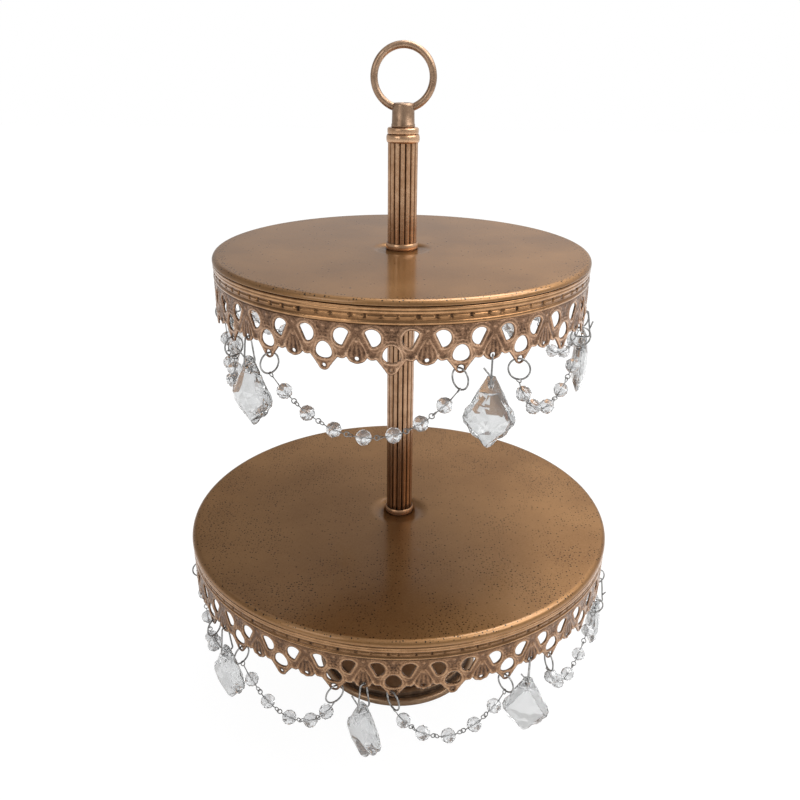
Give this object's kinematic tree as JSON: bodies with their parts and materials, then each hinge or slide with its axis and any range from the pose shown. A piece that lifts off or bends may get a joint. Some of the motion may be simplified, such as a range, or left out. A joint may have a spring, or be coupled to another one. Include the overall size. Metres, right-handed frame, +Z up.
{
  "type": "cake stand",
  "caption": "Two-tier metal cake stand in antique gold with lace rims, swinging faceted bead garlands, crystal drops and a ring handle on top.",
  "frame": {"origin": "Centre of the foot's underside, on the surface that the stand rests on", "axes": "+Z up along the columns, -Y towards the viewer of the picture, +X to the viewer's right"},
  "size_m": [0.2624, 0.2657, 0.381],
  "materials": {
    "antique_gold": "satin",
    "pale_brass": "worn satin",
    "plated_steel": "zinc plated",
    "dark_wire": "dull",
    "crystal_glass": "polished",
    "bead_glass": "polished"
  },
  "bodies": {
    "stand": {"column_collars": "antique_gold", "finial_boss": "pale_brass", "finial_cap": "antique_gold", "foot": "antique_gold", "foot_nut": "plated_steel", "foot_washer": "plated_steel", "lower_column": "antique_gold", "lower_hooks": "dark_wire", "lower_plate": "antique_gold", "lower_skirt": "antique_gold", "ring_handle": "pale_brass", "stem": "antique_gold", "tie_rod": "plated_steel", "upper_column": "antique_gold", "upper_hooks": "dark_wire", "upper_plate": "antique_gold", "upper_skirt": "antique_gold"},
    "upper_garland_1": {"upper_garland_1_beads": "bead_glass", "upper_garland_1_wire": "dark_wire"},
    "upper_crystal_1": {"upper_crystal_1": "crystal_glass"},
    "upper_garland_2": {"upper_garland_2_beads": "bead_glass", "upper_garland_2_wire": "dark_wire"},
    "upper_crystal_2": {"upper_crystal_2": "crystal_glass"},
    "upper_garland_3": {"upper_garland_3_beads": "bead_glass", "upper_garland_3_wire": "dark_wire"},
    "upper_crystal_3": {"upper_crystal_3": "crystal_glass"},
    "upper_garland_4": {"upper_garland_4_beads": "bead_glass", "upper_garland_4_wire": "dark_wire"},
    "upper_crystal_4": {"upper_crystal_4": "crystal_glass"},
    "upper_garland_5": {"upper_garland_5_beads": "bead_glass", "upper_garland_5_wire": "dark_wire"},
    "upper_crystal_5": {"upper_crystal_5": "crystal_glass"},
    "upper_garland_6": {"upper_garland_6_beads": "bead_glass", "upper_garland_6_wire": "dark_wire"},
    "upper_crystal_6": {"upper_crystal_6": "crystal_glass"},
    "lower_garland_1": {"lower_garland_1_beads": "bead_glass", "lower_garland_1_wire": "dark_wire"},
    "lower_crystal_1": {"lower_crystal_1": "crystal_glass"},
    "lower_garland_2": {"lower_garland_2_beads": "bead_glass", "lower_garland_2_wire": "dark_wire"},
    "lower_crystal_2": {"lower_crystal_2": "crystal_glass"},
    "lower_garland_3": {"lower_garland_3_beads": "bead_glass", "lower_garland_3_wire": "dark_wire"},
    "lower_crystal_3": {"lower_crystal_3": "crystal_glass"},
    "lower_garland_4": {"lower_garland_4_beads": "bead_glass", "lower_garland_4_wire": "dark_wire"},
    "lower_crystal_4": {"lower_crystal_4": "crystal_glass"},
    "lower_garland_5": {"lower_garland_5_beads": "bead_glass", "lower_garland_5_wire": "dark_wire"},
    "lower_crystal_5": {"lower_crystal_5": "crystal_glass"},
    "lower_garland_6": {"lower_garland_6_beads": "bead_glass", "lower_garland_6_wire": "dark_wire"},
    "lower_crystal_6": {"lower_crystal_6": "crystal_glass"},
    "lower_garland_7": {"lower_garland_7_beads": "bead_glass", "lower_garland_7_wire": "dark_wire"},
    "lower_crystal_7": {"lower_crystal_7": "crystal_glass"},
    "lower_garland_8": {"lower_garland_8_beads": "bead_glass", "lower_garland_8_wire": "dark_wire"},
    "lower_crystal_8": {"lower_crystal_8": "crystal_glass"}
  },
  "joints": [
    {"name": "upper_garland_1_swing", "type": "hinge", "parent": "stand", "child": "upper_garland_1", "pos_m": [-0.01758, -0.08798, 0.24595], "axis": [0.9806, -0.1959, 0], "range_deg": [-30, 30]},
    {"name": "upper_crystal_1_swing", "type": "hinge", "parent": "stand", "child": "upper_crystal_1", "pos_m": [0.04208, -0.09149, 0.23575], "axis": [-0.1271, -0.9919, 0], "range_deg": [-20, 20]},
    {"name": "upper_garland_2_swing", "type": "hinge", "parent": "stand", "child": "upper_garland_2", "pos_m": [0.07516, -0.05936, 0.24595], "axis": [0.6198, 0.7848, 0], "range_deg": [-30, 30]},
    {"name": "upper_crystal_2_swing", "type": "hinge", "parent": "stand", "child": "upper_crystal_2", "pos_m": [0.09875, -0.01973, 0.23575], "axis": [0.9806, -0.1959, 0], "range_deg": [-20, 20]},
    {"name": "upper_garland_3_swing", "type": "hinge", "parent": "stand", "child": "upper_garland_3", "pos_m": [0.0922, 0.02592, 0.24595], "axis": [-0.2706, 0.9627, 0], "range_deg": [-30, 30]},
    {"name": "upper_crystal_3_swing", "type": "hinge", "parent": "stand", "child": "upper_crystal_3", "pos_m": [0.07401, 0.06829, 0.23575], "axis": [0.5344, 0.8453, 0], "range_deg": [-20, 20]},
    {"name": "upper_garland_4_swing", "type": "hinge", "parent": "stand", "child": "upper_garland_4", "pos_m": [0.01758, 0.08798, 0.24595], "axis": [-0.9806, 0.1959, 0], "range_deg": [-30, 30]},
    {"name": "upper_crystal_4_swing", "type": "hinge", "parent": "stand", "child": "upper_crystal_4", "pos_m": [-0.04208, 0.09149, 0.23575], "axis": [-0.0819, 0.9966, 0], "range_deg": [-20, 20]},
    {"name": "upper_garland_5_swing", "type": "hinge", "parent": "stand", "child": "upper_garland_5", "pos_m": [-0.07516, 0.05936, 0.24595], "axis": [-0.6198, -0.7848, 0], "range_deg": [-30, 30]},
    {"name": "upper_crystal_5_swing", "type": "hinge", "parent": "stand", "child": "upper_crystal_5", "pos_m": [-0.09875, 0.01973, 0.23575], "axis": [-0.9997, 0.0227, 0], "range_deg": [-20, 20]},
    {"name": "upper_garland_6_swing", "type": "hinge", "parent": "stand", "child": "upper_garland_6", "pos_m": [-0.0922, -0.02592, 0.24595], "axis": [0.2706, -0.9627, 0], "range_deg": [-30, 30]},
    {"name": "upper_crystal_6_swing", "type": "hinge", "parent": "stand", "child": "upper_crystal_6", "pos_m": [-0.07401, -0.06829, 0.23575], "axis": [-0.5045, -0.8634, 0], "range_deg": [-20, 20]},
    {"name": "lower_garland_1_swing", "type": "hinge", "parent": "stand", "child": "lower_garland_1", "pos_m": [0.02743, -0.11932, 0.08145], "axis": [0.9746, 0.224, 0], "range_deg": [-30, 30]},
    {"name": "lower_crystal_1_swing", "type": "hinge", "parent": "stand", "child": "lower_crystal_1", "pos_m": [0.06999, -0.10489, 0.06875], "axis": [-0.2467, -0.9691, 0], "range_deg": [-20, 20]},
    {"name": "lower_garland_2_swing", "type": "hinge", "parent": "stand", "child": "lower_garland_2", "pos_m": [0.09966, -0.07113, 0.08145], "axis": [0.5809, 0.814, 0], "range_deg": [-30, 30]},
    {"name": "lower_crystal_2_swing", "type": "hinge", "parent": "stand", "child": "lower_crystal_2", "pos_m": [0.12195, -0.0321, 0.06875], "axis": [0.9856, -0.1693, 0], "range_deg": [-20, 20]},
    {"name": "lower_garland_3_swing", "type": "hinge", "parent": "stand", "child": "lower_garland_3", "pos_m": [0.12176, 0.01285, 0.08145], "axis": [-0.1049, 0.9945, 0], "range_deg": [-30, 30]},
    {"name": "lower_crystal_3_swing", "type": "hinge", "parent": "stand", "child": "lower_crystal_3", "pos_m": [0.11256, 0.05684, 0.06875], "axis": [0.9789, 0.2044, 0], "range_deg": [-20, 20]},
    {"name": "lower_garland_4_swing", "type": "hinge", "parent": "stand", "child": "lower_garland_4", "pos_m": [0.06849, 0.09597, 0.08145], "axis": [-0.814, 0.5809, 0], "range_deg": [-30, 30]},
    {"name": "lower_crystal_4_swing", "type": "hinge", "parent": "stand", "child": "lower_crystal_4", "pos_m": [0.01716, 0.12493, 0.06875], "axis": [-0.2109, 0.9775, 0], "range_deg": [-20, 20]},
    {"name": "lower_garland_5_swing", "type": "hinge", "parent": "stand", "child": "lower_garland_5", "pos_m": [-0.04007, 0.11089, 0.08145], "axis": [-0.9405, -0.3399, 0], "range_deg": [-30, 30]},
    {"name": "lower_crystal_5_swing", "type": "hinge", "parent": "stand", "child": "lower_crystal_5", "pos_m": [-0.09306, 0.08509, 0.06875], "axis": [-0.6096, 0.7927, 0], "range_deg": [-20, 20]},
    {"name": "lower_garland_6_swing", "type": "hinge", "parent": "stand", "child": "lower_garland_6", "pos_m": [-0.11378, 0.04521, 0.08145], "axis": [-0.3692, -0.9293, 0], "range_deg": [-30, 30]},
    {"name": "lower_crystal_6_swing", "type": "hinge", "parent": "stand", "child": "lower_crystal_6", "pos_m": [-0.12608, 0.00198, 0.06875], "axis": [-0.9813, -0.1925, 0], "range_deg": [-20, 20]},
    {"name": "lower_garland_7_swing", "type": "hinge", "parent": "stand", "child": "lower_garland_7", "pos_m": [-0.11515, -0.04161, 0.08145], "axis": [0.3399, -0.9405, 0], "range_deg": [-30, 30]},
    {"name": "lower_crystal_7_swing", "type": "hinge", "parent": "stand", "child": "lower_crystal_7", "pos_m": [-0.09569, -0.08213, 0.06875], "axis": [-0.6206, -0.7841, 0], "range_deg": [-20, 20]},
    {"name": "lower_garland_8_swing", "type": "hinge", "parent": "stand", "child": "lower_garland_8", "pos_m": [-0.0586, -0.1075, 0.08145], "axis": [0.878, -0.4786, 0], "range_deg": [-30, 30]},
    {"name": "lower_crystal_8_swing", "type": "hinge", "parent": "stand", "child": "lower_crystal_8", "pos_m": [-0.01716, -0.12493, 0.06875], "axis": [-0.7049, -0.7093, 0], "range_deg": [-20, 20]}
  ]
}
